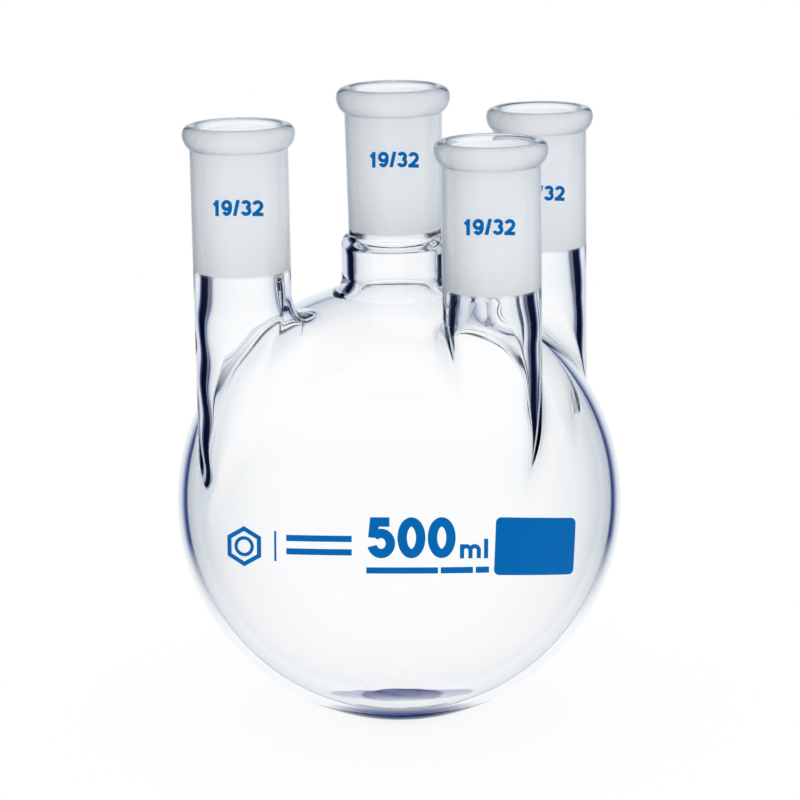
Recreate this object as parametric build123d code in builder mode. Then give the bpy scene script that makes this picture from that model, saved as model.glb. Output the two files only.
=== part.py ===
"""Four-neck round bottom flask, 500 ml, with 19/32 ground sockets.

Millimetres, +Z up. The origin is the lowest point of the bulb, straight under the centre neck, and -Y is
the side with the printing. The side necks stand parallel to the centre neck, so every socket opens
straight up. The glass blanks meet face to face at their fused seams: a neck meets the bulb on a cone
drawn from the bulb's centre, and a socket meets its neck on a flat ring.
"""

import os
from math import cos, isclose, radians, sin, sqrt, tan

from build123d import *

# Bulb: a blown sphere with a thicker pool of glass at the bottom
bulb_radius = 52.5
bulb_wall = 2.2
pool_thickness = 3.2
pool_dish_radius = 60.0
cavity_radius = bulb_radius - bulb_wall
bulb_centre = (0, 0, bulb_radius)

# Ground sockets: 1 in 10 taper on diameter, 18.8 mm at the wide end, 32 mm long
cone_large_radius = 9.4
cone_length = 32.0
cone_small_radius = cone_large_radius - cone_length / 20
lip_depth = 1.45
socket_length = lip_depth + cone_length
crest_radius = cone_large_radius + lip_depth
bead_underside_turn = 60.0
throat_length = 1.5

# Side necks: axes on one circle round the bulb's axis, a quarter turn apart, the fourth place empty
neck_circle_radius = 40.8
neck_turn = 31.6
stem_radius = 11.1
stem_bore_radius = 8.7
stem_taper_length = 10.0
stem_foot_height = bulb_radius + 4.0
side_bead_radius = 12.75
side_bead_height = 5.4
side_bead_widest_depth = 2.0
side_weld_radius = 4.5
side_cap_polar_angle = 56.0
side_cap_half_angle = 32.5

# Centre neck: a wide collar that the taller centre socket stands on
centre_mouth_height = bulb_radius + 98.2
centre_socket_top_radius = 11.3
centre_socket_foot_radius = 10.8
centre_bead_radius = 13.2
centre_bead_height = 6.0
centre_bead_widest_depth = 2.35
collar_radius = 12.6
collar_bore_radius = 9.85
collar_taper_length = 2.8
collar_foot_height = bulb_radius + 40.0
shoulder_start = 0.9
shoulder_drop = 3.4
flare_radius = 13.0
flare_height = 3.6
centre_weld_radius = 3.0
centre_cap_half_angle = 18.0

# Printing: fired enamel, laid square to a reader who looks down on the flask by reader_elevation.
# Places and sizes are across and up in that reader's plane, from the middle of the bulb.
enamel_thickness = 0.12
reader_elevation = 13.3
reader_lean = -0.9
capacity_text = "500"
capacity_middle, capacity_height, capacity_stroke = (2.7, -7.2), 9.1, 2.1
capacity_widths, capacity_gap = {"5": 6.2, "0": 6.2}, 0.5
unit_m_middle, unit_m_size = (15.8, -10.3), (4.7, 3.2)
unit_l_middle, unit_l_size = (19.3, -9.75), (0.95, 4.4)
unit_stroke = 0.95
patch_middle, patch_size, patch_corner, patch_turn = (30.55, -9.6), (18.5, 13.0), 1.2, -2.0
emblem_middle, emblem_radius, emblem_stroke = (-34.95, -9.7), 4.6, 1.0
rule_middle, rule_size = (-27.7, -9.4), (0.5, 6.8)
bars_middle, bar_size, bar_pitch = (-17.85, -9.0), (14.7, 1.4), 3.0
type_rule_start, type_rule_height, type_rule_dashes, type_rule_gap = (-7.3, -14.5), 1.4, (15.9, 7.2, 3.0), 0.6
size_text = "19/32"
size_height, size_stroke, size_gap = 3.5, 0.8, 0.15
size_widths = {"1": 1.95, "9": 2.45, "/": 1.6, "3": 2.4, "2": 2.45}

# Side necks one by one: direction of the axis round the bulb, height of the mouth above the ground
side_directions = {"left": 180 + neck_turn, "front": 270 + neck_turn, "rear": neck_turn}
side_mouth_heights = {"left": bulb_radius + 93.0, "front": bulb_radius + 90.5, "rear": bulb_radius + 89.8}

# Size mark of each socket: how far under its mouth, and how far to the reader's right of its axis
size_mark_drops = {"left": 17.1, "front": 17.4, "rear": 18.8, "centre": 15.3}
size_mark_shifts = {"left": -0.1, "front": -0.8, "rear": -0.3, "centre": 0.0}


def neck_axis(direction):
    """Where a side neck's axis crosses the ground plane."""
    turn = radians(direction)
    return neck_circle_radius * cos(turn), neck_circle_radius * sin(turn)


def cap_plane(direction, polar_angle):
    """Plane at the bulb's centre whose normal runs through the middle of a neck's cap."""
    turn, tilt = radians(direction), radians(polar_angle)
    normal = (sin(tilt) * cos(turn), sin(tilt) * sin(turn), cos(tilt))
    return Plane(origin=bulb_centre, z_dir=normal)


def cap_cone(plane, half_angle, mode):
    """Cone frustum, drawn from the bulb's centre, that cuts one neck's cap out of the sphere."""
    slope = tan(radians(half_angle))
    near, far = 0.5 * bulb_radius, 1.4 * bulb_radius
    with Locations(plane.offset(near)):
        Cone(near * slope, far * slope, far - near,
             align=(Align.CENTER, Align.CENTER, Align.MIN), mode=mode)


centre_cap = cap_plane(0, 0)
side_caps = {name: cap_plane(direction, side_cap_polar_angle) for name, direction in side_directions.items()}

# The bulb's cavity: a sphere with a flatter dish for its floor
with BuildPart() as cavity:
    with Locations(bulb_centre):
        Sphere(cavity_radius)
    with Locations((0, 0, pool_thickness + pool_dish_radius)):
        Sphere(pool_dish_radius, mode=Mode.INTERSECT)

# Bulb
with BuildPart() as bulb:
    with Locations(bulb_centre):
        Sphere(bulb_radius)
    cap_cone(centre_cap, centre_cap_half_angle, Mode.SUBTRACT)
    for cap in side_caps.values():
        cap_cone(cap, side_cap_half_angle, Mode.SUBTRACT)
    add(cavity.part, mode=Mode.SUBTRACT)
bulb.part.label = "bulb"


def make_stem_bore(axis, seam_height):
    """Hollow of a side neck: the bulb's cavity, the stem's bore, and the throat under the socket."""
    with BuildPart() as hollow:
        with Locations(bulb_centre):
            Sphere(cavity_radius)
        with BuildSketch(Plane.XY.offset(bulb_radius)):
            with Locations(axis):
                Circle(stem_bore_radius)
        extrude(amount=seam_height - throat_length - stem_taper_length - bulb_radius)
        with BuildSketch(Plane.XY.offset(seam_height - throat_length)):
            with Locations(axis):
                Circle(cone_small_radius)
        extrude(amount=throat_length)
        with Locations((*axis, seam_height - throat_length - stem_taper_length)):
            Cone(stem_bore_radius, cone_small_radius, stem_taper_length,
                 align=(Align.CENTER, Align.CENTER, Align.MIN))
    return hollow.part


def make_side_neck(name):
    """Clear stem with its weld foot, from the socket's seam down to its cap of the bulb."""
    axis = neck_axis(side_directions[name])
    seam_height = side_mouth_heights[name] - socket_length
    with BuildPart() as neck:
        with Locations(bulb_centre):
            Sphere(bulb_radius)
        cap_cone(side_caps[name], side_cap_half_angle, Mode.INTERSECT)
        with BuildSketch(Plane.XY.offset(stem_foot_height)):
            with Locations(axis):
                Circle(stem_radius)
        extrude(amount=seam_height - stem_foot_height)
        weld_line = neck.edges().filter_by(GeomType.BSPLINE).sort_by(SortBy.LENGTH)[0]
        fillet(weld_line, side_weld_radius)
        add(make_stem_bore(axis, seam_height), mode=Mode.SUBTRACT)
    neck.part.label = f"{name}_neck"
    return neck.part


def make_collar_hollow(seam_height):
    """Hollow of the centre neck: the bulb's cavity, a flared foot, the bore, and the throat under the socket."""
    throat_foot = seam_height - throat_length
    flare_foot = bulb_radius + sqrt(cavity_radius**2 - flare_radius**2)
    flare_width = flare_radius - collar_bore_radius
    with BuildPart() as hollow:
        with Locations(bulb_centre):
            Sphere(cavity_radius)
        with BuildSketch(Plane.XZ):
            with BuildLine():
                flare = EllipticalCenterArc(
                    (flare_radius, flare_foot + flare_height), flare_width, flare_height, 180, arc_size=90)
                Polyline(
                    flare @ 1,
                    (0, flare_foot),
                    (0, seam_height),
                    (cone_small_radius, seam_height),
                    (cone_small_radius, throat_foot),
                    (collar_bore_radius, throat_foot - collar_taper_length),
                    flare @ 0,
                )
            make_face()
        revolve(axis=Axis.Z)
    return hollow.part


def make_centre_neck():
    """Collar with a rounded shoulder, from the centre socket's seam down to its cap of the bulb."""
    seam_height = centre_mouth_height - socket_length
    shoulder_foot = seam_height - shoulder_drop
    with BuildPart() as neck:
        with Locations(bulb_centre):
            Sphere(bulb_radius)
        cap_cone(centre_cap, centre_cap_half_angle, Mode.INTERSECT)
        with BuildSketch(Plane.XZ):
            with BuildLine():
                shoulder = EllipticalCenterArc(
                    (centre_socket_foot_radius, shoulder_foot), collar_radius - centre_socket_foot_radius,
                    shoulder_drop - shoulder_start, 0, arc_size=90)
                Polyline(
                    shoulder @ 1,
                    (centre_socket_foot_radius, seam_height),
                    (0, seam_height),
                    (0, collar_foot_height),
                    (collar_radius, collar_foot_height),
                    shoulder @ 0,
                )
            make_face()
        revolve(axis=Axis.Z)
        weld_line = neck.edges().filter_by(GeomType.CIRCLE).sort_by(Axis.Z)
        weld_line = [edge for edge in weld_line if isclose(edge.radius, collar_radius)][0]
        fillet(weld_line, centre_weld_radius)
        add(make_collar_hollow(seam_height), mode=Mode.SUBTRACT)
    neck.part.label = "centre_neck"
    return neck.part


def make_socket(name, axis, mouth_height, top_radius, foot_radius, bead):
    """Ground female cone with a rolled bead round its mouth, standing on the neck's seam.

    The bead is given as its radius, its height, and the depth of its widest ring under the mouth.
    """
    bead_radius, bead_height, widest_depth = bead
    foot_height, widest_height = mouth_height - socket_length, mouth_height - widest_depth
    roll_width = (bead_radius - top_radius) / (1 - cos(radians(bead_underside_turn)))
    roll_height = (bead_height - widest_depth) / sin(radians(bead_underside_turn))
    cone_mouth = (cone_large_radius, mouth_height - lip_depth)
    with BuildPart() as socket:
        with BuildSketch(Plane.XZ):
            with BuildLine():
                underside = EllipticalCenterArc(
                    (bead_radius - roll_width, widest_height), roll_width, roll_height,
                    -bead_underside_turn, arc_size=bead_underside_turn)
                top = EllipticalCenterArc(
                    (crest_radius, widest_height), bead_radius - crest_radius, widest_depth, 0, arc_size=90)
                RadiusArc(top @ 1, cone_mouth, -lip_depth)
                Polyline(
                    cone_mouth, (cone_small_radius, foot_height), (foot_radius, foot_height), underside @ 0)
            make_face()
        revolve(axis=Axis.Z)
    socket.part.label = f"{name}_socket"
    return socket.part.moved(Location((*axis, 0)))


def character_strokes(character, a, b):
    """Centre lines of one character, in a cell that reaches a to each side and b up and down."""
    if character == "0":
        return [EllipticalCenterArc((0, 0), a, b, start, arc_size=180) for start in (0, 180)]
    if character == "1":
        return [Line((0.3 * a, -1.3 * b), (0.3 * a, 1.3 * b)), Line((0.2 * a, 0.9 * b), (-a, 0.5 * b))]
    if character == "2":
        bowl = EllipticalCenterArc((0, 0.42 * b), a, 0.58 * b, 165, arc_size=-195)
        diagonal = Spline(bowl @ 1, (-0.8 * a, -0.95 * b), tangents=[bowl % 1, (-1.2, -1)])
        return [Curve([bowl, diagonal]), Line((-1.45 * a, -b), (1.45 * a, -b))]
    if character == "3":
        upper = EllipticalCenterArc((-0.05 * a, 0.52 * b), 0.9 * a, 0.48 * b, 160, arc_size=-250)
        lower = EllipticalCenterArc((-0.05 * a, -0.46 * b), a, 0.54 * b, 90, arc_size=-255)
        return [upper, lower]
    if character == "5":
        back = Polyline((0.9 * a, b), (-0.72 * a, b), (-0.9 * a, 0))
        bowl = EllipticalCenterArc((0, -0.36 * b), a, 0.64 * b, 140, arc_size=-305)
        return [back, bowl]
    if character == "9":
        bowl = [EllipticalCenterArc((0, 0.4 * b), a, 0.6 * b, start, arc_size=180) for start in (0, 180)]
        return [*bowl, EllipticalCenterArc((0, 0), a, b, 20, arc_size=-162)]
    if character == "m":
        stems = [Line((x * a, -1.6 * b), (x * a, 0.2 * b)) for x in (0, 1)]
        arches = [EllipticalCenterArc((x * a, 0.2 * b), a / 2, 0.8 * b, 180, arc_size=-180)
                  for x in (-0.5, 0.5)]
        return [Line((-a, -1.6 * b), (-a, 1.6 * b)), *stems, *arches]
    if character == "l":
        return [Line((0, -1.3 * b), (0, 1.3 * b))]
    return [Line((-a, -1.3 * b), (a, 1.3 * b))]


def make_character(character, width, height, stroke):
    """One printed character, traced along its centre lines and cut square at the height of the line."""
    strokes = character_strokes(character, (width - stroke) / 2, (height - stroke) / 2)
    with BuildSketch() as cell:
        for centre_line in strokes:
            trace(centre_line, stroke)
        Rectangle(3 * width, height, mode=Mode.INTERSECT)
    return cell.sketch


def set_line(text, widths, gap, height, stroke):
    """Characters of one printed line, each with the place of its middle along the line, from its centre."""
    line = []
    edge = -(sum(widths[character] for character in text) + gap * (len(text) - 1)) / 2
    for character in text:
        middle = edge + widths[character] / 2
        line.append((middle, make_character(character, widths[character], height, stroke)))
        edge += widths[character] + gap
    return line


def reader_plane(point, distance):
    """Plane facing the reader, at a distance in front of a point, with its x axis to the right."""
    tilt, lean = radians(reader_elevation), radians(reader_lean)
    facing = Vector(0, -cos(tilt), sin(tilt))
    rightward = Vector(cos(lean), sin(lean) * sin(tilt), sin(lean) * cos(tilt))
    return Plane(origin=Vector(*point) + facing * distance, x_dir=rightward, z_dir=facing)


def print_on_bulb(label, artwork):
    """Lay flat artwork on the bulb as a thin skin of enamel."""
    plane = reader_plane(bulb_centre, 2 * bulb_radius)
    with BuildPart() as mark:
        with Locations(bulb_centre):
            Sphere(bulb_radius + enamel_thickness)
            Sphere(bulb_radius, mode=Mode.SUBTRACT)
        with BuildSketch(plane):
            add(artwork)
        extrude(amount=-2 * bulb_radius, mode=Mode.INTERSECT)
    mark.part.label = label
    return mark.part


def print_on_socket(name, axis, mouth_height, top_radius, foot_radius, bead_height):
    """Lay the joint's size on a socket, as a thin skin of enamel that follows its wall."""
    foot_height, top_height = mouth_height - socket_length, mouth_height - bead_height
    mark_height = mouth_height - size_mark_drops[name] - top_radius * tan(radians(reader_elevation))
    size_line = set_line(size_text, size_widths, size_gap, size_height, size_stroke)
    with BuildPart() as mark:
        with BuildSketch(Plane(origin=(*axis, 0), x_dir=(1, 0, 0), z_dir=(0, -1, 0))):
            Polygon(
                (foot_radius, foot_height),
                (foot_radius + enamel_thickness, foot_height),
                (top_radius + enamel_thickness, top_height),
                (top_radius, top_height),
                align=None,
            )
        revolve(axis=Axis((*axis, 0), (0, 0, 1)))
        with BuildSketch(reader_plane((*axis, mark_height), 2 * top_radius)):
            for middle, character in size_line:
                with Locations((size_mark_shifts[name] + middle, 0)):
                    add(character)
        extrude(amount=-2 * top_radius, mode=Mode.INTERSECT)
    mark.part.label = f"{name}_size_mark"
    return mark.part


# Artwork of the printing on the bulb
capacity_line = set_line(capacity_text, capacity_widths, capacity_gap, capacity_height, capacity_stroke)
unit_m = make_character("m", *unit_m_size, unit_stroke)
unit_l = make_character("l", *unit_l_size, unit_stroke)

with BuildSketch() as capacity_artwork:
    for middle, numeral in capacity_line:
        with Locations((capacity_middle[0] + middle, capacity_middle[1])):
            add(numeral)
    with Locations(unit_m_middle):
        add(unit_m)
    with Locations(unit_l_middle):
        add(unit_l)

with BuildSketch() as patch_artwork:
    with Locations(patch_middle):
        RectangleRounded(*patch_size, patch_corner, rotation=patch_turn)

with BuildSketch() as emblem_artwork:
    with Locations(emblem_middle):
        RegularPolygon(emblem_radius, 6, rotation=30)
        RegularPolygon(emblem_radius - emblem_stroke / cos(radians(30)), 6, rotation=30, mode=Mode.SUBTRACT)
        Circle(0.5 * emblem_radius)
        Circle(0.5 * emblem_radius - 0.8 * emblem_stroke, mode=Mode.SUBTRACT)

with BuildSketch() as rule_artwork:
    with Locations(rule_middle):
        Rectangle(*rule_size)

with BuildSketch() as bars_artwork:
    with Locations(bars_middle):
        with GridLocations(0, bar_pitch, 1, 2):
            Rectangle(*bar_size)

with BuildSketch() as type_rule_artwork:
    dash_start = type_rule_start[0]
    for dash in type_rule_dashes:
        with Locations((dash_start + dash / 2, type_rule_start[1])):
            Rectangle(dash, type_rule_height)
        dash_start += dash + type_rule_gap

pieces = [
    bulb.part,
    make_centre_neck(),
    print_on_bulb("capacity_mark", capacity_artwork.sketch),
    print_on_bulb("writing_patch", patch_artwork.sketch),
    print_on_bulb("emblem", emblem_artwork.sketch),
    print_on_bulb("divider_rule", rule_artwork.sketch),
    print_on_bulb("maker_bars", bars_artwork.sketch),
    print_on_bulb("glass_type_rule", type_rule_artwork.sketch),
]

centre_walls = (centre_socket_top_radius, centre_socket_foot_radius)
centre_bead = (centre_bead_radius, centre_bead_height, centre_bead_widest_depth)
side_bead = (side_bead_radius, side_bead_height, side_bead_widest_depth)
pieces.append(make_socket("centre", (0, 0), centre_mouth_height, *centre_walls, centre_bead))
pieces.append(print_on_socket("centre", (0, 0), centre_mouth_height, *centre_walls, centre_bead_height))
for name, direction in side_directions.items():
    axis, mouth_height = neck_axis(direction), side_mouth_heights[name]
    pieces.append(make_side_neck(name))
    pieces.append(make_socket(name, axis, mouth_height, stem_radius, stem_radius, side_bead))
    pieces.append(print_on_socket(name, axis, mouth_height, stem_radius, stem_radius, side_bead_height))

os.makedirs("parts", exist_ok=True)
for piece in pieces:
    export_step(piece, f"parts/{piece.label}.step")
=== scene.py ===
"""The looks of the four-neck round bottom flask: fused clear glass, ground sockets, blue enamel.

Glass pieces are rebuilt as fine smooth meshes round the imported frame. Lengths in the geometry code are
millimetres from the flask's lowest point, and every mesh is written in metres.
"""

import math

import bmesh
import bpy
import numpy as np
from mathutils import Matrix, Vector


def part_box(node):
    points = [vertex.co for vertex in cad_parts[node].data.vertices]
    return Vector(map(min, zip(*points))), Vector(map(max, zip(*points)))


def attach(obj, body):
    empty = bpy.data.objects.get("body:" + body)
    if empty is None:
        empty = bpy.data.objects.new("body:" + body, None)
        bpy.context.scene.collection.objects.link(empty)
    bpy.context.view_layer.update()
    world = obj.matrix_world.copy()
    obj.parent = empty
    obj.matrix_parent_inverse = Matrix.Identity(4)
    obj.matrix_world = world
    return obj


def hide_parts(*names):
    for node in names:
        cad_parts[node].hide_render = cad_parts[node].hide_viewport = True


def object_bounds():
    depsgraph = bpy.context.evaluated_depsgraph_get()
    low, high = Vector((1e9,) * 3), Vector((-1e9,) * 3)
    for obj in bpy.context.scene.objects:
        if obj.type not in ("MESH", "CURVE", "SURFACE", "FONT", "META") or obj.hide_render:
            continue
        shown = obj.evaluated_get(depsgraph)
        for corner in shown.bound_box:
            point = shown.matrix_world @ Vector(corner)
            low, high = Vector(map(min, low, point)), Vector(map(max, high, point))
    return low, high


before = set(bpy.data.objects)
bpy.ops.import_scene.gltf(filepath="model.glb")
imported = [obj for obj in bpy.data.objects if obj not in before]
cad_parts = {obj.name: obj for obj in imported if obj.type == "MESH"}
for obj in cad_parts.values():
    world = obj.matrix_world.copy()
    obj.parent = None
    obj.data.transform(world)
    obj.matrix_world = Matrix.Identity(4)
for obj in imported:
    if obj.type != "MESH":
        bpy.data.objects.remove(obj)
cad_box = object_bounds()

MM = 0.001

# Bulb and its pool of thicker glass
BULB_RADIUS = 52.5
BULB_WALL = 2.2
CAVITY_RADIUS = BULB_RADIUS - BULB_WALL
POOL_THICKNESS = 3.2
POOL_DISH_RADIUS = 60.0
POOL_RIM_BLEND = 0.25
BULB_CENTRE = np.array([0.0, 0.0, BULB_RADIUS])

# Ripples of the pool: height, waves across, waves along (both per mm) and phase
POOL_RIPPLES = ((0.05, 0.45, 0.9, 0.0), (0.035, 1.1, -0.4, 1.0))
POOL_RIPPLE_FADE = (10.0, 19.0)

# Side necks. Weld blends are (square_blend, growth, least_blend) of weld_surface
STEM_RADIUS = 11.1
STEM_WALL = 2.4
STEM_BORE_RADIUS = STEM_RADIUS - STEM_WALL
THROAT_LENGTH = 1.5
STEM_TAPER_LENGTH = 10.0
SIDE_CAP_POLAR_ANGLE = math.radians(56.0)
SIDE_CAP_HALF_ANGLE = math.radians(32.5)
OUTER_WELD_BLENDS = (7.6, 1.0, 0.3)
INNER_WELD_BLENDS = (8.0, 1.6, 1.2)

# Unevenness of a blown bore: height, waves per mm up, waves round, and how it follows the neck's phase
BORE_WAVES = ((0.07, 0.45, 2.0, 1.0), (0.08, 0.17, -1.0, 2.3))
BORE_WAVES_FADE = 9.0

# Centre neck
COLLAR_RADIUS = 12.6
COLLAR_BORE_RADIUS = 9.85
COLLAR_FLARE_RADIUS = 13.0
COLLAR_FLARE_HEIGHT = 3.6
COLLAR_FLARE_BEND = (0.5, 1.3)
COLLAR_FOOT_ROUNDING = 0.5
COLLAR_TAPER_LENGTH = 2.8
COLLAR_WELD_REACH = 3.2
COLLAR_WELD_HEIGHT = 3.4
WAIST_RADIUS = 10.8
WAIST_DEPTH = 0.9
SHOULDER_DEPTH = 3.4
SHOULDER_TURN = 78
SHOULDER_LEVELLING = 0.15
CENTRE_CAP_HALF_ANGLE = math.radians(18.0)

# Sockets: a 1 in 10 taper on diameter. Beads are (height, depth of their widest place under the mouth)
CONE_LARGE_RADIUS = 9.4
CONE_LENGTH = 32.0
THROAT_RADIUS = CONE_LARGE_RADIUS - CONE_LENGTH / 20
LIP_DEPTH = 1.45
SOCKET_LENGTH = LIP_DEPTH + CONE_LENGTH
CREST_RADIUS = CONE_LARGE_RADIUS + LIP_DEPTH
BEAD_UNDERSIDE_TURN = 60.0
SIDE_BEAD = (5.4, 2.0)
CENTRE_BEAD = (6.0, 2.35)
CENTRE_SOCKET_WALLS = (11.3, 10.8)
SIDE_SOCKET_WALLS = (STEM_RADIUS, STEM_RADIUS)

# Meshes: points once round a neck, rows over its weld and up its stem, and the bulb's grain in mm
AROUND = 160
WELD_ROWS = 28
STEM_ROWS = 64
BULB_GRAIN = 1.5
SEAM_CLEARANCE = 0.7 * BULB_GRAIN
SMOOTHING_PASSES = 12
SETTLING_PASSES = 8

# Materials
GLASS_IOR = 1.474
# Painted edge shade: where glass is seen at a slant its colour darkens towards these bluish greys, fully at
# the end value
CLEAR_PAINTED_EDGE_SHADE = (0.74, 0.80, 0.88)
SATIN_PAINTED_EDGE_SHADE = (0.50, 0.59, 0.68)
BEAD_PAINTED_EDGE_SHADE = (0.22, 0.33, 0.42)
PAINTED_EDGE_SHADE_END = 0.95
TOTAL_REFLECTION = 0.999
GRAIN_SHARE = 0.85
# Painted glow for light caught in the grain: strength, left-side painted shade span (normal x), glow seen
# from the bore
PAINTED_GRAIN_GLOW = 0.18
PAINTED_GRAIN_GLOW_FADE = (-1.05, -0.2)
PAINTED_MOUTH_GLOW = 0.12

SIDE_NAMES = ("left", "front", "rear")


def socket_place(name):
    """Axis (x, y), mouth height and bead radius of a socket, in mm, from its CAD node."""
    low, high = (np.array(corner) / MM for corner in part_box(f"{name}_socket"))
    middle = (low + high) / 2
    return middle[:2], high[2], (high[0] - low[0]) / 2


def unit(vectors):
    """The same vectors at length one."""
    return vectors / np.linalg.norm(vectors, axis=-1, keepdims=True)


def smooth_step(low, high, value):
    """0 below low, 1 above high, with a smooth rise between them."""
    share = np.clip((value - low) / (high - low), 0.0, 1.0)
    return share * share * (3.0 - 2.0 * share)


def blend_union(a, b, width):
    """Smooth minimum of two distances, which joins two bodies with a fillet."""
    share = np.clip(0.5 + 0.5 * (b - a) / width, 0.0, 1.0)
    return b + (a - b) * share - width * share * (1.0 - share)


# ---------------------------------------------------------------- materials

def new_material(name):
    """An empty node material and its output node."""
    material = bpy.data.materials.new(name)
    material.use_nodes = True
    tree = material.node_tree
    tree.nodes.clear()
    output = tree.nodes.new("ShaderNodeOutputMaterial")
    return material, tree, output


def add_node(tree, kind, **values):
    """A node with some of its inputs or properties set."""
    node = tree.nodes.new(kind)
    for key, value in values.items():
        if hasattr(node, key):
            setattr(node, key, value)
        else:
            node.inputs[key.replace("_", " ")].default_value = value
    return node


def arithmetic(tree, operation, *values):
    """A maths node fed by sockets or plain numbers, and its result."""
    node = tree.nodes.new("ShaderNodeMath")
    node.operation = operation
    for place, value in enumerate(values):
        if isinstance(value, (int, float)):
            node.inputs[place].default_value = value
        else:
            tree.links.new(value, node.inputs[place])
    return node.outputs["Value"]


def xyz(tree, vector):
    """The X, Y and Z of a vector socket."""
    parts = tree.nodes.new("ShaderNodeSeparateXYZ")
    tree.links.new(vector, parts.inputs["Vector"])
    return parts.outputs["X"], parts.outputs["Y"], parts.outputs["Z"]


def map_range(tree, value, low, high):
    """0 at low and 1 at high, held level beyond them."""
    node = add_node(tree, "ShaderNodeMapRange", From_Min=low, From_Max=high)
    tree.links.new(value, node.inputs["Value"])
    return node.outputs["Result"]


def colour_ramp(tree, place, stops, interpolation="LINEAR"):
    """A colour that runs through the stops, each a place from 0 to 1 and an RGB triple."""
    ramp = tree.nodes.new("ShaderNodeValToRGB")
    ramp.color_ramp.interpolation = interpolation
    elements = ramp.color_ramp.elements
    while len(elements) < len(stops):
        elements.new(0.5)
    for element, (position, colour) in zip(elements, stops):
        element.position = position
        element.color = (*colour, 1.0)
    tree.links.new(place, ramp.inputs["Fac"])
    return ramp.outputs["Color"]


def noise(tree, scale, detail):
    """Fine noise that is fixed to the object, from 0 to 1."""
    texture = add_node(tree, "ShaderNodeTexNoise", Scale=scale, Detail=detail)
    place = tree.nodes.new("ShaderNodeTexCoord")
    tree.links.new(place.outputs["Object"], texture.inputs["Vector"])
    return texture.outputs["Fac"]


def mix_colours(tree, share, first, second, blend="MIX"):
    """Mix two colours, each a socket or an RGB triple.

    The mix node has inputs and outputs of several types under the same names, so they go by number.
    """
    mix = tree.nodes.new("ShaderNodeMix")
    mix.data_type = "RGBA"
    mix.blend_type = blend
    tree.links.new(share, mix.inputs[0])
    for place, colour in ((6, first), (7, second)):
        if isinstance(colour, tuple):
            mix.inputs[place].default_value = (*colour, 1.0)
        else:
            tree.links.new(colour, mix.inputs[place])
    return mix.outputs[2]


def mix_shaders(tree, share, first, second):
    """Mix two shaders by a number or a socket."""
    mix = tree.nodes.new("ShaderNodeMixShader")
    if isinstance(share, (int, float)):
        mix.inputs["Fac"].default_value = share
    else:
        tree.links.new(share, mix.inputs["Fac"])
    tree.links.new(first, mix.inputs[1])
    tree.links.new(second, mix.inputs[2])
    return mix.outputs["Shader"]


def glass_shader(tree, colour, painted_edge_shade, edge_start, roughness):
    """Glass whose inner faces either pass light on or return all of it, which keeps the wall clean.

    The faint part reflections inside a wall are left out, and total reflection is kept. Where the glass
    is seen at a slant its colour turns into a painted edge shade, darker and bluish.
    """
    glass = add_node(
        tree, "ShaderNodeBsdfPrincipled", Roughness=roughness, IOR=GLASS_IOR, Transmission_Weight=1.0)
    passing = add_node(tree, "ShaderNodeBsdfRefraction", Roughness=roughness, IOR=GLASS_IOR)
    facing = add_node(tree, "ShaderNodeLayerWeight", Blend=0.5)
    # Painted edge shade, from the glass's own colour to a darker bluish grey at a slant
    stops = ((edge_start, colour), (PAINTED_EDGE_SHADE_END, painted_edge_shade))
    edge_shaded_colour = colour_ramp(tree, facing.outputs["Facing"], stops, "EASE")
    tree.links.new(edge_shaded_colour, glass.inputs["Base Color"])
    tree.links.new(edge_shaded_colour, passing.inputs["Color"])
    fresnel = add_node(tree, "ShaderNodeFresnel", IOR=GLASS_IOR)
    geometry = tree.nodes.new("ShaderNodeNewGeometry")
    passes = arithmetic(tree, "LESS_THAN", fresnel.outputs["Fac"], TOTAL_REFLECTION)
    inside = arithmetic(tree, "MULTIPLY", geometry.outputs["Backfacing"], passes)
    return mix_shaders(tree, inside, glass.outputs["BSDF"], passing.outputs["BSDF"])


def clear_glass():
    """Fire-polished borosilicate glass."""
    material, tree, output = new_material("clear_glass")
    shader = glass_shader(tree, (0.995, 0.998, 1.0), CLEAR_PAINTED_EDGE_SHADE, edge_start=0.45, roughness=0.0)
    tree.links.new(shader, output.inputs["Surface"])
    return material


def dulled_glass(name, painted_edge_shade, roughness, veil_share):
    """The outside of a socket, a little dulled by the fire: more on the wall, less on the bead."""
    material, tree, output = new_material(name)
    veil = add_node(tree, "ShaderNodeBsdfTranslucent", Color=(0.86, 0.89, 0.93, 1.0))
    glass = glass_shader(tree, (0.99, 0.995, 1.0), painted_edge_shade, edge_start=0.25, roughness=roughness)
    tree.links.new(mix_shaders(tree, veil_share, glass, veil.outputs["BSDF"]), output.inputs["Surface"])
    return material


def painted_grain_glow(tree):
    """Strength of a painted glow for light caught in the grain, with painted shade towards the left of the
    socket.
    """
    geometry = tree.nodes.new("ShaderNodeNewGeometry")
    facing_right, _, _ = xyz(tree, geometry.outputs["Normal"])
    glow = arithmetic(tree, "MULTIPLY", map_range(tree, facing_right, *PAINTED_GRAIN_GLOW_FADE), PAINTED_GRAIN_GLOW)
    open_side = arithmetic(tree, "SUBTRACT", 1.0, geometry.outputs["Backfacing"])
    return arithmetic(tree, "ADD", glow, arithmetic(tree, "MULTIPLY", open_side, PAINTED_MOUTH_GLOW))


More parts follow.
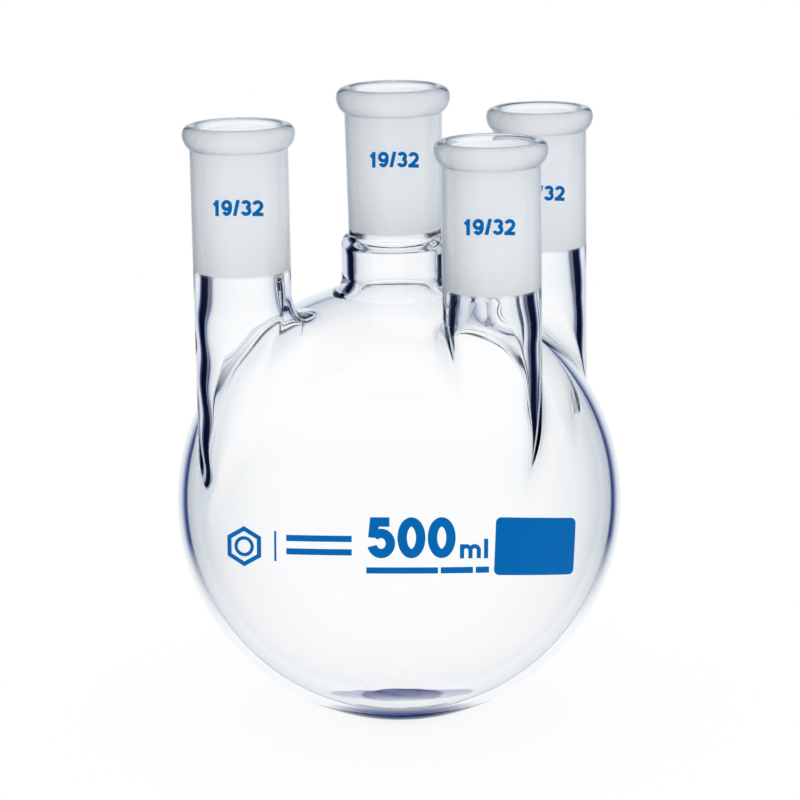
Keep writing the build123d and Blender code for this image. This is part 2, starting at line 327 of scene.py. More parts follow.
def ground_glass():
    """The ground inside of a socket: a fine matt grain that scatters light both ways, with a painted glow
    added.
    """
    material, tree, output = new_material("ground_glass")
    rough = glass_shader(tree, (0.97, 0.98, 1.0), CLEAR_PAINTED_EDGE_SHADE, edge_start=0.45, roughness=0.5)
    stops = ((0.35, (0.955, 0.968, 0.98)), (0.65, (0.985, 0.992, 0.998)))
    tone = colour_ramp(tree, noise(tree, scale=900.0, detail=3.0), stops)
    through = tree.nodes.new("ShaderNodeBsdfTranslucent")
    back = tree.nodes.new("ShaderNodeBsdfDiffuse")
    glow = tree.nodes.new("ShaderNodeEmission")
    for shader in (through, back, glow):
        tree.links.new(tone, shader.inputs["Color"])
    tree.links.new(painted_grain_glow(tree), glow.inputs["Strength"])
    scattered = mix_shaders(tree, 0.5, through.outputs["BSDF"], back.outputs["BSDF"])
    lit = tree.nodes.new("ShaderNodeAddShader")
    tree.links.new(scattered, lit.inputs[0])
    tree.links.new(glow.outputs["Emission"], lit.inputs[1])
    tree.links.new(mix_shaders(tree, GRAIN_SHARE, rough, lit.outputs["Shader"]), output.inputs["Surface"])
    return material


def fused_seam():
    """Where two blanks are fused the glass goes on, so the seam itself bends no light."""
    material, tree, output = new_material("fused_seam")
    through = tree.nodes.new("ShaderNodeBsdfTransparent")
    tree.links.new(through.outputs["BSDF"], output.inputs["Surface"])
    return material


def seen_directly(tree):
    """1 for light that no surface has mirrored on its way to the eye, which keeps ghost images out."""
    path = tree.nodes.new("ShaderNodeLightPath")
    return arithmetic(tree, "LESS_THAN", path.outputs["Glossy Depth"], 0.5)


def blue_enamel():
    """Fired blue enamel, even and slightly glossy."""
    material, tree, output = new_material("blue_enamel")
    enamel = add_node(tree, "ShaderNodeBsdfPrincipled", Roughness=0.35, Specular_IOR_Level=0.03)
    stops = ((0.0, (0.0, 0.125, 0.42)), (1.0, (0.0, 0.145, 0.46)))
    tone = colour_ramp(tree, noise(tree, scale=60.0, detail=2.0), stops)
    tree.links.new(tone, enamel.inputs["Base Color"])
    unseen = tree.nodes.new("ShaderNodeBsdfTransparent")
    shader = mix_shaders(tree, seen_directly(tree), unseen.outputs["BSDF"], enamel.outputs["BSDF"])
    tree.links.new(shader, output.inputs["Surface"])
    return material


GLASS, GROUND, SEAM, SATIN, BEAD = range(5)
GLASS_MATERIALS = [
    clear_glass(),
    ground_glass(),
    fused_seam(),
    # The outside of the sockets takes a stronger painted edge shade, strongest on the bead
    dulled_glass("satin_glass", SATIN_PAINTED_EDGE_SHADE, roughness=0.16, veil_share=0.10),
    dulled_glass("bead_glass", BEAD_PAINTED_EDGE_SHADE, roughness=0.05, veil_share=0.03),
]


# ---------------------------------------------------------------- meshes

def make_piece(name, points, faces, kinds, normals):
    """A glass piece from points in mm, with a material kind for each face and a normal for each point."""
    mesh = bpy.data.meshes.new(name)
    mesh.from_pydata((points * MM).tolist(), [], faces)
    for material in GLASS_MATERIALS:
        mesh.materials.append(material)
    mesh.polygons.foreach_set("material_index", kinds)
    mesh.polygons.foreach_set("use_smooth", [True] * len(faces))
    mesh.update()
    corner_points = np.empty(len(mesh.loops), dtype=np.int64)
    mesh.loops.foreach_get("vertex_index", corner_points)
    corner_normals = normals[corner_points]
    flat = np.empty(len(faces) * 3)
    mesh.polygons.foreach_get("normal", flat)
    sizes = np.array([len(face) for face in faces])
    corner_faces = np.repeat(np.arange(len(faces)), sizes)
    on_seam = np.array(kinds)[corner_faces] == SEAM
    corner_normals[on_seam] = flat.reshape(-1, 3)[corner_faces[on_seam]]
    mesh.normals_split_custom_set(corner_normals.tolist())
    piece = bpy.data.objects.new(name, mesh)
    bpy.context.scene.collection.objects.link(piece)
    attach(piece, "root")
    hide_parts(name)
    return piece


def ring_quads(first, second, count):
    """Quads between two rings of points, given where each ring starts."""
    return [
        (first + i, first + (i + 1) % count, second + (i + 1) % count, second + i)
        for i in range(count)
    ]


def cap_ring(axis, first_side, second_side, half_angle):
    """Unit directions from the bulb's centre to a neck's seam, once round."""
    turn = np.linspace(0.0, 2.0 * math.pi, AROUND, endpoint=False)[:, None]
    across = np.cos(turn) * first_side + np.sin(turn) * second_side
    return math.cos(half_angle) * axis + math.sin(half_angle) * across


def side_directions(name):
    """Outward and sideways directions of a side neck, and its cap's middle and lower side."""
    axis, _, _ = socket_place(name)
    outward = np.array([*(axis / np.linalg.norm(axis)), 0.0])
    upward = np.array([0.0, 0.0, 1.0])
    sideways = np.cross(upward, outward)
    middle = math.sin(SIDE_CAP_POLAR_ANGLE) * outward + math.cos(SIDE_CAP_POLAR_ANGLE) * upward
    lower = math.cos(SIDE_CAP_POLAR_ANGLE) * outward - math.sin(SIDE_CAP_POLAR_ANGLE) * upward
    return outward, sideways, middle, lower


def side_seam(name):
    """Unit directions of a side neck's seam with the bulb."""
    _, sideways, middle, lower = side_directions(name)
    return cap_ring(middle, lower, sideways, SIDE_CAP_HALF_ANGLE)


def centre_seam():
    """Unit directions of the centre neck's seam with the bulb."""
    return cap_ring(np.eye(3)[2], np.eye(3)[0], np.eye(3)[1], CENTRE_CAP_HALF_ANGLE)


def cavity_reach(directions):
    """Distance from the bulb's centre to the inside of its wall, less over the pool."""
    dish = np.array([0.0, 0.0, POOL_THICKNESS + POOL_DISH_RADIUS - BULB_RADIUS])
    along = directions @ dish
    to_dish = along + np.sqrt(along**2 + POOL_DISH_RADIUS**2 - dish @ dish)
    return blend_union(np.full(len(directions), CAVITY_RADIUS), to_dish, POOL_RIM_BLEND)


def uneven_cavity(directions):
    """The same distance with the hand-worked ripples of the pool."""
    across, along = BULB_RADIUS * directions[:, 0], BULB_RADIUS * directions[:, 1]
    ripples = sum(
        height * np.sin(per_across * across + per_along * along + phase)
        for height, per_across, per_along, phase in POOL_RIPPLES
    )
    near_pool = 1.0 - smooth_step(*POOL_RIPPLE_FADE, np.hypot(across, along))
    low = directions[:, 2] < 0
    return cavity_reach(directions) + ripples * near_pool * low


def cavity_normals(directions, step=0.002):
    """Outward normals of the cavity, from how its reach changes round each direction."""
    upright = np.where(np.abs(directions[:, 2:]) < 0.9, np.eye(3)[2], np.eye(3)[0])
    first = unit(np.cross(upright, directions))
    second = np.cross(directions, first)
    reach = uneven_cavity(directions)
    normals = directions.copy()
    for tangent in (first, second):
        beyond = uneven_cavity(unit(directions + step * tangent))
        before = uneven_cavity(unit(directions - step * tangent))
        normals -= ((beyond - before) / (2.0 * step * reach))[:, None] * tangent
    return unit(normals)


def spiral_directions():
    """Unit directions spread evenly over a sphere, on a golden-angle spiral."""
    hexagon_share = math.sqrt(3.0) / 2.0
    count = int(4.0 * math.pi * BULB_RADIUS**2 / (hexagon_share * BULB_GRAIN**2))
    index = np.arange(count) + 0.5
    height = 1.0 - 2.0 * index / count
    turn = math.pi * (1.0 + math.sqrt(5.0)) * index
    level = np.sqrt(1.0 - height**2)
    return np.stack([level * np.cos(turn), level * np.sin(turn), height], axis=1)


def sphere_triangles(directions):
    """Triangles between directions on a sphere, turned outwards, and the middle of each."""
    hull = bmesh.new()
    for direction in directions:
        hull.verts.new(direction)
    hull.verts.index_update()
    bmesh.ops.convex_hull(hull, input=hull.verts)
    hull.verts.index_update()
    corners = np.array([[v.index for v in face.verts] for face in hull.faces])
    places = np.array([v.co for v in hull.verts])
    hull.free()
    middles = places[corners].mean(axis=1)
    edges = places[corners]
    facing = np.cross(edges[:, 1] - edges[:, 0], edges[:, 2] - edges[:, 0])
    inward = (facing * middles).sum(axis=1) < 0
    corners[inward] = corners[inward][:, ::-1]
    return corners, middles


def make_bulb():
    """The blown bulb: an even mesh on the sphere, open at the seams, with an inner wall."""
    caps = [(side_directions(name)[2], SIDE_CAP_HALF_ANGLE, side_seam(name)) for name in SIDE_NAMES]
    caps.append((np.eye(3)[2], CENTRE_CAP_HALF_ANGLE, centre_seam()))
    seam_clearance = SEAM_CLEARANCE / BULB_RADIUS
    lattice = spiral_directions()
    for axis, half_angle, _ in caps:
        lattice = lattice[lattice @ axis < math.cos(half_angle + seam_clearance)]
    directions = np.concatenate([ring for _, _, ring in caps] + [lattice])
    corners, middles = sphere_triangles(directions)
    for axis, half_angle, _ in caps:
        keep = middles @ axis < math.cos(half_angle) - 1e-5
        corners, middles = corners[keep], middles[keep]
    total = len(directions)
    outer = BULB_CENTRE + BULB_RADIUS * directions
    inner = BULB_CENTRE + uneven_cavity(directions)[:, None] * directions
    faces = corners.tolist() + (corners[:, ::-1] + total).tolist()
    kinds = [GLASS] * len(faces)
    for place in range(len(caps)):
        rim = ring_quads(place * AROUND, total + place * AROUND, AROUND)
        faces += rim
        kinds += [SEAM] * len(rim)
    normals = np.concatenate([directions, -cavity_normals(directions)])
    return make_piece("bulb", np.concatenate([outer, inner]), faces, kinds, normals)


def grid_faces(rows, start, flip):
    """Quads of a grid that closes on itself round each row."""
    faces = []
    for row in range(rows - 1):
        quads = ring_quads(start + row * AROUND, start + (row + 1) * AROUND, AROUND)
        faces += [quad[::-1] for quad in quads] if flip else quads
    return faces


def hand_work(points, top, phase):
    """Slow unevenness of a hand-blown bore, in mm, gone at the socket's seam."""
    height, turn = points[..., 2], np.arctan2(points[..., 1], points[..., 0])
    waves = sum(
        swell * np.sin(per_height * height + per_turn * turn + phase_share * phase)
        for swell, per_height, per_turn, phase_share in BORE_WAVES
    )
    return waves * smooth_step(0.0, BORE_WAVES_FADE, top - height)


def weld_surface(axis, sphere_radius, stem_radius_at, square_blend, growth, least_blend):
    """Distance function of a stem fused to the bulb's sphere, for one side of the glass.

    The weld is widest towards the bulb's axis, where stem and sphere turn their backs on each other. It is
    square_blend plus least_blend wide where they cross squarely, and least_blend where they run alongside.
    """
    def distance(points):
        from_centre = points - BULB_CENTRE
        reach = np.linalg.norm(from_centre, axis=-1)
        from_axis = points[..., :2] - axis
        radius = np.linalg.norm(from_axis, axis=-1)
        sphere_normal = from_centre / reach[..., None]
        stem_normal = from_axis / radius[..., None]
        agreement = (sphere_normal[..., :2] * stem_normal).sum(axis=-1)
        width = square_blend * np.clip(1.0 - agreement, 0.0, 2.0) ** growth + least_blend
        return blend_union(reach - sphere_radius, radius - stem_radius_at(points), width)
    return distance


def gradient(distance, points, step=0.01):
    """Direction in which a distance function grows."""
    slopes = []
    for axis in np.eye(3):
        slopes.append((distance(points + step * axis) - distance(points - step * axis)) / (2.0 * step))
    return np.stack(slopes, axis=-1)


def settle(distance, points):
    """Move points along the gradient until they lie on the surface."""
    for _ in range(SETTLING_PASSES):
        slope = gradient(distance, points)
        points = points - (distance(points) / (slope**2).sum(axis=-1))[..., None] * slope
    return points


def side_sheet(name, sphere_radius, stem_radius, top_radius, stem_radius_at, blends):
    """One side of a side neck's wall: rows of points from the bulb's seam up to the socket's seam."""
    axis, mouth, _ = socket_place(name)
    outward, sideways, _, _ = side_directions(name)
    top = mouth - SOCKET_LENGTH
    turn = np.linspace(0.0, 2.0 * math.pi, AROUND, endpoint=False)[:, None]
    spoke = np.cos(turn) * outward + np.sin(turn) * sideways
    seam = side_seam(name)
    foot = np.array([*axis, 0.0]) + stem_radius * spoke
    foot[:, 2] = np.sqrt(sphere_radius**2 - (foot[:, :2] ** 2).sum(axis=1))
    foot_direction = foot / sphere_radius
    rows = []
    for share in np.linspace(0.0, 1.0, WELD_ROWS):
        direction = unit((1.0 - share) * seam + share * foot_direction)
        rows.append(BULB_CENTRE + sphere_radius * direction)
    for share in np.linspace(0.0, 1.0, STEM_ROWS)[1:]:
        point = BULB_CENTRE + foot
        point[:, 2] += share * (top - point[:, 2])
        rows.append(point)
    sheet = np.array(rows)
    for _ in range(SMOOTHING_PASSES):
        sheet[1:-1] = (sheet[:-2] + 2.0 * sheet[1:-1] + sheet[2:]) / 4.0
    distance = weld_surface(axis, sphere_radius, stem_radius_at, *blends)
    sheet[1:-1] = settle(distance, sheet[1:-1])
    sheet[-1] = np.array([*axis, top]) + top_radius * spoke
    normals = unit(gradient(distance, sheet))
    normals[0] = seam
    normals[-1] = spoke
    return sheet.reshape(-1, 3), normals.reshape(-1, 3), len(sheet)


def make_side_neck(name):
    """Clear stem with its weld foot."""
    axis, mouth, _ = socket_place(name)
    top = mouth - SOCKET_LENGTH

    def bore_at(points):
        height = points[..., 2]
        narrowing = smooth_step(top - THROAT_LENGTH - STEM_TAPER_LENGTH, top - THROAT_LENGTH, height)
        bore = STEM_BORE_RADIUS + (THROAT_RADIUS - STEM_BORE_RADIUS) * narrowing
        return bore + hand_work(points - np.array([*axis, 0.0]), top, mouth)

    outer, outer_normals, rows = side_sheet(
        name, BULB_RADIUS, STEM_RADIUS, STEM_RADIUS, lambda points: STEM_RADIUS, OUTER_WELD_BLENDS)
    inner, inner_normals, _ = side_sheet(
        name, CAVITY_RADIUS, STEM_BORE_RADIUS, THROAT_RADIUS, bore_at, INNER_WELD_BLENDS)
    total = len(outer)
    faces = grid_faces(rows, 0, False) + grid_faces(rows, total, True)
    kinds = [GLASS] * len(faces)
    last = (rows - 1) * AROUND
    foot_rim = [quad[::-1] for quad in ring_quads(0, total, AROUND)]
    top_rim = ring_quads(last, total + last, AROUND)
    faces += foot_rim + top_rim
    kinds += [SEAM] * (2 * AROUND)
    normals = np.concatenate([outer_normals, -inner_normals])
    return make_piece(f"{name}_neck", np.concatenate([outer, inner]), faces, kinds, normals)


def turned_piece(name, axis, start_direction, stretches):
    """A piece of revolution.

    Each stretch is (profile points (radius, height), material kind), and the stretches follow one another
    round the closed profile.
    """
    angle = math.atan2(start_direction[1], start_direction[0])
    turn = angle + np.linspace(0.0, 2.0 * math.pi, AROUND, endpoint=False)
    cosines, sines = np.cos(turn), np.sin(turn)
    points, normals, faces, kinds = [], [], [], []
    for profile, kind in stretches:
        profile = np.asarray(profile, dtype=float)
        steps = np.linalg.norm(np.diff(profile, axis=0), axis=1)
        travelled = np.concatenate([[0.0], np.cumsum(steps)])
        along = unit(np.gradient(profile, travelled, axis=0))
        start = len(points) * AROUND
        for (radius, height), (along_r, along_z) in zip(profile, along):
            level, tilt = np.full(AROUND, height), np.full(AROUND, -along_r)
            points.append(np.stack([axis[0] + radius * cosines, axis[1] + radius * sines, level], axis=1))
            normals.append(np.stack([along_z * cosines, along_z * sines, tilt], axis=1))
        faces += grid_faces(len(profile), start, False)
        kinds += [kind] * ((len(profile) - 1) * AROUND)
    return make_piece(name, np.concatenate(points), faces, kinds, np.concatenate(normals))


def between(first, last, count):
    """Evenly spaced points on a straight stretch of a profile."""
    share = np.linspace(0.0, 1.0, count)[:, None]
    return (1.0 - share) * np.array(first) + share * np.array(last)


def arc(centre, radii, start, end, count):
    """Points on an elliptical arc in a profile, angles in degrees from the outward radius."""
    angles = np.radians(np.linspace(start, end, count))
    return [(centre[0] + radii[0] * math.cos(a), centre[1] + radii[1] * math.sin(a)) for a in angles]


def make_socket(name, top_wall, foot_wall, bead_height, widest_depth):
    """Ground socket with a rolled bead."""
    axis, mouth, bead = socket_place(name)
    foot = mouth - SOCKET_LENGTH
    start = axis if name != "centre" else (1.0, 0.0)
    widest = mouth - widest_depth
    turn = math.radians(BEAD_UNDERSIDE_TURN)
    roll_width = (bead - top_wall) / (1.0 - math.cos(turn))
    roll_height = (bead_height - widest_depth) / math.sin(turn)
    wall = between((foot_wall, foot), (top_wall, mouth - bead_height), 12)
    underside = arc((bead - roll_width, widest), (roll_width, roll_height), -BEAD_UNDERSIDE_TURN, 0, 16)
    top = arc((CREST_RADIUS, widest), (bead - CREST_RADIUS, widest_depth), 0, 90, 14)
    lip = arc((CREST_RADIUS, mouth - LIP_DEPTH), (LIP_DEPTH, LIP_DEPTH), 90, 180, 12)
    cone = between((CONE_LARGE_RADIUS, mouth - LIP_DEPTH), (THROAT_RADIUS, foot), 14)
    seam = [(THROAT_RADIUS, foot), (foot_wall, foot)]
    rolled = underside + top[1:] + lip[1:]
    stretches = [(wall, SATIN), (rolled, BEAD), (cone, GROUND), (seam, SEAM)]
    return turned_piece(f"{name}_socket", axis, start, stretches)


def rounded(first, corner, last, count):
    """A soft bend that leaves one side of a corner at first and joins the other at last."""
    share = np.linspace(0.0, 1.0, count)[:, None]
    first, corner, last = np.array(first), np.array(corner), np.array(last)
    return (1.0 - share) ** 2 * first + 2.0 * share * (1.0 - share) * corner + share**2 * last


def on_sphere(sphere_radius, radius):
    """Point (radius, height) of a sphere round the bulb's centre, above its middle."""
    return radius, BULB_RADIUS + math.sqrt(sphere_radius**2 - radius**2)


def sphere_stretch(sphere_radius, first_radius, last_radius, count):
    """Arc of a sphere round the bulb's centre, between two radii."""
    radii = np.linspace(first_radius, last_radius, count)
    return np.array([on_sphere(sphere_radius, radius) for radius in radii])


def make_centre_neck():
    """Collar with a rounded shoulder under the socket and a flared foot in the bulb."""
    axis, mouth, _ = socket_place("centre")
    top = mouth - SOCKET_LENGTH
    seam_share = math.sin(CENTRE_CAP_HALF_ANGLE)

    weld_edge = on_sphere(BULB_RADIUS, COLLAR_RADIUS + COLLAR_WELD_REACH)
    corner = on_sphere(BULB_RADIUS, COLLAR_RADIUS)
    weld_top = (COLLAR_RADIUS, corner[1] + COLLAR_WELD_HEIGHT)
    shoulder = (COLLAR_RADIUS, top - SHOULDER_DEPTH)
    shoulder_size = (COLLAR_RADIUS - WAIST_RADIUS, SHOULDER_DEPTH - WAIST_DEPTH)
    outside = np.concatenate([
        sphere_stretch(BULB_RADIUS, BULB_RADIUS * seam_share, weld_edge[0], 4)[:-1],
        rounded(weld_edge, corner, weld_top, 20)[:-1],
        between(weld_top, shoulder, 10)[:-1],
        arc((WAIST_RADIUS, shoulder[1]), shoulder_size, 0, SHOULDER_TURN, 14),
        between((WAIST_RADIUS, top - WAIST_DEPTH + SHOULDER_LEVELLING), (WAIST_RADIUS, top), 4),
    ])

    throat = (THROAT_RADIUS, top - THROAT_LENGTH)
    bore_top = (COLLAR_BORE_RADIUS, top - THROAT_LENGTH - COLLAR_TAPER_LENGTH)
    foot = on_sphere(CAVITY_RADIUS, COLLAR_FLARE_RADIUS)
    bore_foot = (COLLAR_BORE_RADIUS, foot[1] + COLLAR_FLARE_HEIGHT)
    past_foot = on_sphere(CAVITY_RADIUS, COLLAR_FLARE_RADIUS + COLLAR_FOOT_ROUNDING)
    drop = np.linspace(0.0, 1.0, 18)
    narrowing = smooth_step(0.0, 1.0, drop)
    shoulder_inside = np.stack([THROAT_RADIUS + (COLLAR_BORE_RADIUS - THROAT_RADIUS) * narrowing,
                                throat[1] + (bore_top[1] - throat[1]) * drop], axis=1)
    bend_out, bend_up = COLLAR_FLARE_BEND
    flare = rounded(bore_foot, (COLLAR_BORE_RADIUS + bend_out, foot[1] + bend_up), foot, 24)
    inside = np.concatenate([
        between((THROAT_RADIUS, top), throat, 4)[:-1],
        shoulder_inside[:-1],
        between(bore_top, bore_foot, 8)[:-1],
        flare[:-2],
        rounded(flare[-3], foot, past_foot, 6)[1:-1],
        sphere_stretch(CAVITY_RADIUS, past_foot[0], CAVITY_RADIUS * seam_share, 5),
    ])
    stretches = [(outside, GLASS), ([outside[-1], inside[0]], SEAM), (inside, GLASS),
                 ([inside[-1], outside[0]], SEAM)]
    return turned_piece("centre_neck", axis, (1.0, 0.0), stretches)


make_bulb()
make_centre_neck()
make_socket("centre", *CENTRE_SOCKET_WALLS, *CENTRE_BEAD)
for side in SIDE_NAMES:
    make_side_neck(side)
    make_socket(side, *SIDE_SOCKET_WALLS, *SIDE_BEAD)

enamel = blue_enamel()
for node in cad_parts.values():
    if not node.hide_render:
        for slot in node.material_slots:
            slot.material = enamel


# ---------------------------------------------------------------- studio

WHITE = (1.0, 1.0, 1.0)

# Colour of the studio by degrees from the camera's line of sight
LIGHT_BY_ANGLE = (
    (0.0, WHITE),
    (7.0, (0.97, 0.98, 0.99)),
    (14.0, (0.87, 0.90, 0.92)),
    (21.0, (0.78, 0.82, 0.86)),
    (25.0, (0.50, 0.56, 0.68)),
    (28.0, (0.09, 0.11, 0.27)),
    (33.0, (0.06, 0.075, 0.22)),
    (37.0, (0.002, 0.004, 0.02)),
    (63.0, (0.002, 0.004, 0.02)),
    (73.0, (0.03, 0.04, 0.08)),
    (85.0, (0.10, 0.15, 0.21)),
    (110.0, (0.20, 0.29, 0.35)),
    (180.0, (0.30, 0.39, 0.45)),
)
UPRIGHT_SQUEEZE = 0.7

# Where the white behind the camera sets in, as shares of a half turn, and how many mirrorings dim the light
BEHIND_CAMERA = (0.48, 0.60)
DIMMING_BOUNCES = (1.0, 4.0)

# Floor, in metres. Painted shadow patches are (half width, half depth, softness), the painted shadow ring
# (inside, outside, softness), and each soft shadow is (radius, depth). The floor is white near the flask,
# like the studio far off.
FLOOR_RADIUS = 0.9
FLOOR_SIDES = 96
WHITE_TO_STUDIO = (0.06, 0.16)
# Painted contact shadows, navy, that only the glass shows; the ring below is painted shadow in front of the
# flask
WIDE_PAINTED_CONTACT_SHADOW = (0.0185, 0.0046, 0.0085)
PAINTED_CONTACT_SHADOW = (0.0105, 0.0056, 0.0065)
CONTACT_SHADOW_EDGE = (0.86, 1.06)
PAINTED_SHADOW_RING = (0.0130, 0.0205, 0.0025)
PAINTED_SHADOW_RING_FRONT = (-0.008, -0.017)
SOFT_SHADOWS = ((0.045, 0.05), (0.008, 0.35))
CONTACT_SHADOW_COLOUR = (0.005, 0.02, 0.18)
WIDE_CONTACT_SHADOW_COLOUR = (0.42, 0.48, 0.62)
PAINTED_SHADOW_RING_COLOUR = (0.065, 0.09, 0.27)
DEEP_GLASS = (0.03, 0.08, 0.14)

# Camera: distance and aim in metres, aim height as a share of the flask's height, lens in mm
CAMERA_DISTANCE = 0.735
CAMERA_ELEVATION = math.radians(13.26)
CAMERA_LEAN = math.radians(-0.9)
CAMERA_LENS = 140.3
CAMERA_SENSOR = 36.0
CLIP_START = 0.05
AIM_ASIDE = 0.00054
AIM_HEIGHT = 0.507


def squared(tree, value):
    """A number times itself."""
    return arithmetic(tree, "MULTIPLY", value, value)


def studio_light(tree, direction):
    """Colour of the studio seen along a direction, by its angle from the camera's line of sight.

    A white field stands behind the flask, framed by dark flags that draw the edges of the glass. Behind
    the camera it is dim inside the glass, and white where the outside of the glass mirrors it.
    """
    turn = tree.nodes.new("ShaderNodeVectorTransform")
    turn.vector_type = "VECTOR"
    turn.convert_from = "WORLD"
    turn.convert_to = "CAMERA"
    tree.links.new(direction, turn.inputs["Vector"])
    across, upright, ahead = xyz(tree, turn.outputs["Vector"])
    across = squared(tree, across)
    upright = squared(tree, arithmetic(tree, "MULTIPLY", upright, UPRIGHT_SQUEEZE))
    spread = arithmetic(tree, "SQRT", arithmetic(tree, "ADD", across, upright))
    share = arithmetic(tree, "DIVIDE", arithmetic(tree, "ARCTAN2", spread, ahead), math.pi)
    stops = [(degrees / 180.0, colour) for degrees, colour in LIGHT_BY_ANGLE]
    colour = colour_ramp(tree, share, stops)
    path = tree.nodes.new("ShaderNodeLightPath")
    outside = arithmetic(tree, "LESS_THAN", path.outputs["Transmission Depth"], 0.5)
    behind = arithmetic(tree, "MULTIPLY", outside, map_range(tree, share, *BEHIND_CAMERA))
    return mix_colours(tree, behind, colour, WHITE)


def light_or_white(tree, colour):
    """The studio for light that has only passed through clear glass, and even white for all the rest.

    Light mirrored time and again inside the glass runs far through it, and comes out dark and bluish.
    """
    path = tree.nodes.new("ShaderNodeLightPath")
    long_way = map_range(tree, path.outputs["Glossy Depth"], *DIMMING_BOUNCES)
    dimmed = mix_colours(tree, long_way, colour, DEEP_GLASS, "MULTIPLY")
    scattered = arithmetic(tree, "GREATER_THAN", path.outputs["Diffuse Depth"], 0.5)
    even = arithmetic(tree, "MAXIMUM", scattered, path.outputs["Is Camera Ray"])
    return mix_colours(tree, even, dimmed, WHITE)


def make_world():
    """The studio round the flask."""
    world = bpy.data.worlds.new("studio")
    bpy.context.scene.world = world
    world.use_nodes = True
    tree = world.node_tree
    tree.nodes.clear()
    output = tree.nodes.new("ShaderNodeOutputWorld")
    background = tree.nodes.new("ShaderNodeBackground")
    where = tree.nodes.new("ShaderNodeTexCoord")
    colour = studio_light(tree, where.outputs["Generated"])
    tree.links.new(light_or_white(tree, colour), background.inputs["Color"])
    tree.links.new(background.outputs["Background"], output.inputs["Surface"])


def band(tree, value, low, high, softness):
    """1 between low and high, 0 outside, with soft edges."""
    rise = map_range(tree, value, low - softness, low)
    return arithmetic(tree, "MULTIPLY", rise, map_range(tree, value, high + softness, high))


def off_painted_contact_shadow(tree, across, along, half_width, half_depth, softness):
    """0 on a round-ended patch of painted contact shadow, 1 off it, with a crisp far edge and a soft near
    one.
    """
    sideways = squared(tree, arithmetic(tree, "DIVIDE", across, half_width))
    lengthways = squared(tree, arithmetic(tree, "DIVIDE", along, half_depth))
    outline = map_range(tree, arithmetic(tree, "ADD", sideways, lengthways), *CONTACT_SHADOW_EDGE)
    near = map_range(tree, along, 0.0, -softness)
    return arithmetic(tree, "MAXIMUM", outline, near)


def floor_under_glass(tree, place, distance, surroundings):
    """The floor as the glass shows it: a navy painted contact shadow, and painted shadow on a ring in front
    of it.
    """
    across, along, _ = xyz(tree, place)
    wide = off_painted_contact_shadow(tree, across, along, *WIDE_PAINTED_CONTACT_SHADOW)
    close = off_painted_contact_shadow(tree, across, along, *PAINTED_CONTACT_SHADOW)
    shadowed = mix_colours(tree, wide, WIDE_CONTACT_SHADOW_COLOUR, surroundings)
    shadowed = mix_colours(tree, close, CONTACT_SHADOW_COLOUR, shadowed)
    shadowed = mix_colours(tree, seen_directly(tree), surroundings, shadowed)
    # Painted shadow on a ring round the rest point, in front of the flask only
    ring = band(tree, distance, *PAINTED_SHADOW_RING)
    front = map_range(tree, along, *PAINTED_SHADOW_RING_FRONT)
    return mix_colours(tree, arithmetic(tree, "MULTIPLY", ring, front), shadowed, PAINTED_SHADOW_RING_COLOUR)


def soft_shadow(tree, distance, radius, depth):
    """How much a round soft shadow takes from the floor, at a distance from its middle."""
    share = squared(tree, arithmetic(tree, "DIVIDE", distance, radius))
    fall = arithmetic(tree, "EXPONENT", arithmetic(tree, "MULTIPLY", share, -1.0))
    return arithmetic(tree, "MULTIPLY", fall, depth)


def floor_brightness(tree, distance):
    """Brightness of the floor: soft shadows where the camera sees it, and full where the glass does."""
    path = tree.nodes.new("ShaderNodeLightPath")
    brightness = 1.0
    for radius, depth in SOFT_SHADOWS:
        shadow = arithmetic(
            tree, "MULTIPLY", soft_shadow(tree, distance, radius, depth), path.outputs["Is Camera Ray"])
        brightness = arithmetic(tree, "MULTIPLY", brightness, arithmetic(tree, "SUBTRACT", 1.0, shadow))
    return brightness


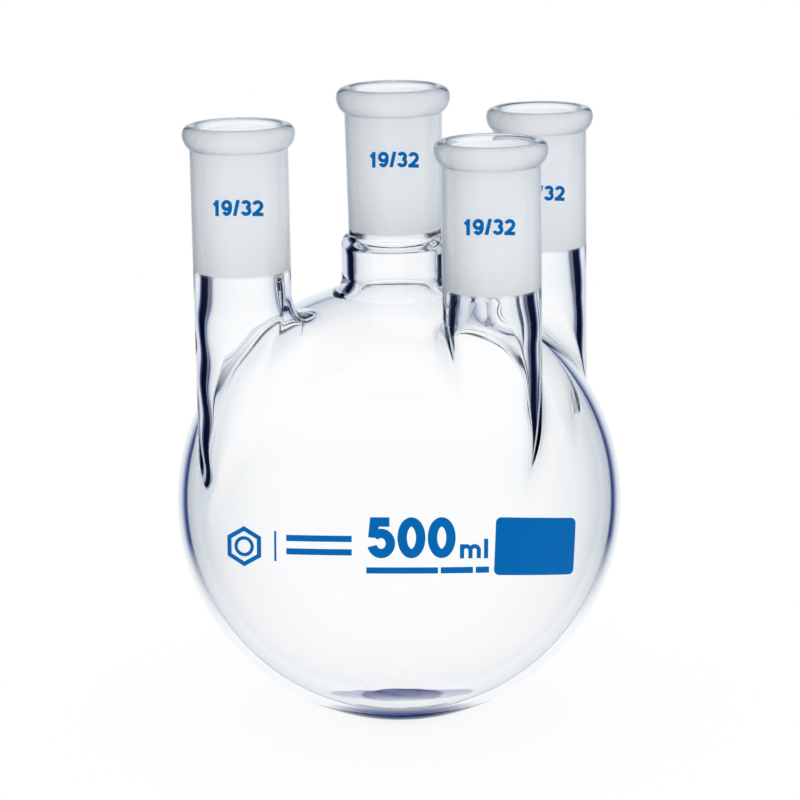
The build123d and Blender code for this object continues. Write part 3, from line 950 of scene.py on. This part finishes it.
def floor_material():
    """Pale table top. It glows like the studio round it, and darkens softly where the flask rests."""
    material, tree, output = new_material("pale_floor")
    geometry = tree.nodes.new("ShaderNodeNewGeometry")
    away = tree.nodes.new("ShaderNodeVectorMath")
    away.operation = "SCALE"
    away.inputs["Scale"].default_value = -1.0
    tree.links.new(geometry.outputs["Incoming"], away.inputs[0])
    length = tree.nodes.new("ShaderNodeVectorMath")
    length.operation = "LENGTH"
    tree.links.new(geometry.outputs["Position"], length.inputs[0])
    distance = length.outputs["Value"]
    far = map_range(tree, distance, *WHITE_TO_STUDIO)
    surroundings = mix_colours(tree, far, WHITE, studio_light(tree, away.outputs["Vector"]))
    through_glass = floor_under_glass(tree, geometry.outputs["Position"], distance, surroundings)
    glow = tree.nodes.new("ShaderNodeEmission")
    tree.links.new(light_or_white(tree, through_glass), glow.inputs["Color"])
    tree.links.new(floor_brightness(tree, distance), glow.inputs["Strength"])
    tree.links.new(glow.outputs["Emission"], output.inputs["Surface"])
    return material


def make_floor():
    """Round table top that the flask rests on."""
    mesh = bpy.data.meshes.new("floor")
    turns = np.linspace(0.0, 2.0 * math.pi, FLOOR_SIDES, endpoint=False)
    rim = [(FLOOR_RADIUS * math.cos(turn), FLOOR_RADIUS * math.sin(turn), 0.0) for turn in turns]
    mesh.from_pydata(rim, [], [tuple(range(len(rim)))])
    mesh.materials.append(floor_material())
    floor = bpy.data.objects.new("floor", mesh)
    bpy.context.scene.collection.objects.link(floor)


def make_camera():
    """Camera in front of the printing, a little above the flask, looking down at it."""
    low, high = cad_box
    aim = Vector((AIM_ASIDE, 0.0, AIM_HEIGHT * (high[2] - low[2])))
    level, rise = math.cos(CAMERA_ELEVATION), math.sin(CAMERA_ELEVATION)
    back = Vector((0.0, -level, rise))
    right, up = Vector((1.0, 0.0, 0.0)), Vector((0.0, rise, level))
    leaning_right = right * math.cos(CAMERA_LEAN) + up * math.sin(CAMERA_LEAN)
    leaning_up = up * math.cos(CAMERA_LEAN) - right * math.sin(CAMERA_LEAN)
    data = bpy.data.cameras.new("camera")
    data.sensor_width = CAMERA_SENSOR
    data.lens = CAMERA_LENS
    data.clip_start = CLIP_START
    camera = bpy.data.objects.new("camera", data)
    turn = Matrix((leaning_right, leaning_up, back)).transposed()
    camera.matrix_world = Matrix.Translation(aim + back * CAMERA_DISTANCE) @ turn.to_4x4()
    bpy.context.scene.collection.objects.link(camera)
    bpy.context.scene.camera = camera


make_world()
make_floor()
make_camera()

scene = bpy.context.scene
scene.view_settings.view_transform = "Standard"
scene.cycles.max_bounces = 32
scene.cycles.transmission_bounces = 32
scene.cycles.glossy_bounces = 16
scene.cycles.diffuse_bounces = 16
scene.cycles.transparent_max_bounces = 32
scene.cycles.use_denoising = True
